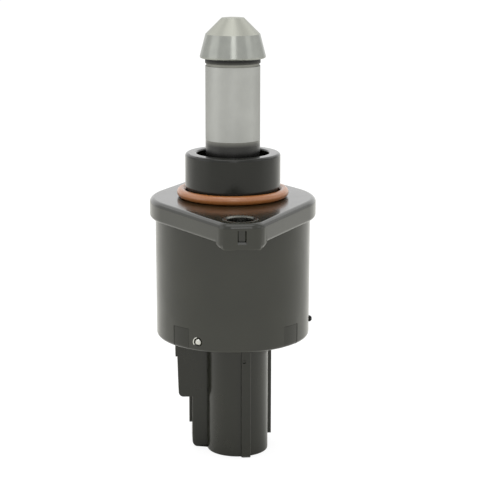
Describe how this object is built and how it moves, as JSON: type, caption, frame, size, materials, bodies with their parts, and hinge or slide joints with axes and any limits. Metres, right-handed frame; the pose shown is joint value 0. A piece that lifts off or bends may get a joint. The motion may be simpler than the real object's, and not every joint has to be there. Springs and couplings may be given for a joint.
{
  "type": "idle air control valve",
  "caption": "Flanged linear-stepper idle air control valve: turned pintle on a sliding plunger, O-ringed neck, moulded housing and an end connector.",
  "frame": {"origin": "centre of the flange's sealing face, on the valve's axis", "axes": "+Z along the axis towards the pintle tip; the two screw holes lie on Y; the connector hangs below"},
  "size_m": [0.039, 0.066, 0.1037],
  "materials": {
    "black_moulding": "glossy moulded",
    "brown_rubber": "satin",
    "black_rubber": "matt",
    "plated_steel": "plated",
    "turned_aluminium": "turned satin",
    "satin_aluminium": "satin anodised",
    "blackened_steel": "black oxide",
    "bright_steel": "ground",
    "natural_plastic": "satin",
    "ferrite": "matt sintered",
    "bronze": "sintered",
    "stator_sheet": "pressed sheet",
    "copper_winding": "enamelled wire",
    "tinned_brass": "tinned"
  },
  "bodies": {
    "valve_body": {"housing": "black_moulding", "connector_cover": "black_moulding", "o_ring": "brown_rubber", "wiper_seal": "black_rubber", "cover_gasket": "black_rubber", "flange_bush_front": "plated_steel", "flange_bush_rear": "plated_steel", "retaining_pin_1": "plated_steel", "retaining_pin_2": "blackened_steel", "retaining_pin_3": "blackened_steel", "bearing_outer_ring": "bright_steel", "bearing_balls": "bright_steel", "bobbin_a": "natural_plastic", "bobbin_b": "natural_plastic", "rear_bush": "bronze", "stator_cup_a_upper": "stator_sheet", "stator_cup_a_lower": "stator_sheet", "stator_cup_b_upper": "stator_sheet", "stator_cup_b_lower": "stator_sheet", "coil_a": "copper_winding", "coil_b": "copper_winding", "terminal_1": "tinned_brass", "terminal_2": "tinned_brass", "terminal_3": "tinned_brass", "terminal_4": "tinned_brass"},
    "plunger": {"pintle_tip": "turned_aluminium", "tip_seal": "black_rubber", "plunger_sleeve": "satin_aluminium", "plunger_body": "black_moulding", "lead_screw": "bright_steel"},
    "rotor": {"rotor_hub": "natural_plastic", "rotor_magnet": "ferrite", "bearing_inner_ring": "bright_steel"}
  },
  "joints": [
    {"name": "plunger_slide", "type": "slide", "parent": "valve_body", "child": "plunger", "axis": [0, 0, 1], "range_m": [-0.00801, 0]},
    {"name": "rotor_spin", "type": "hinge", "parent": "valve_body", "child": "rotor", "pos_m": [0, 0, -0.0215], "axis": [0, 0, 1], "range_deg": [0, 2880]}
  ],
  "couplings": [
    {"joint": "plunger_slide", "follows": "rotor_spin", "m_per_rad": -0.00015915}
  ]
}
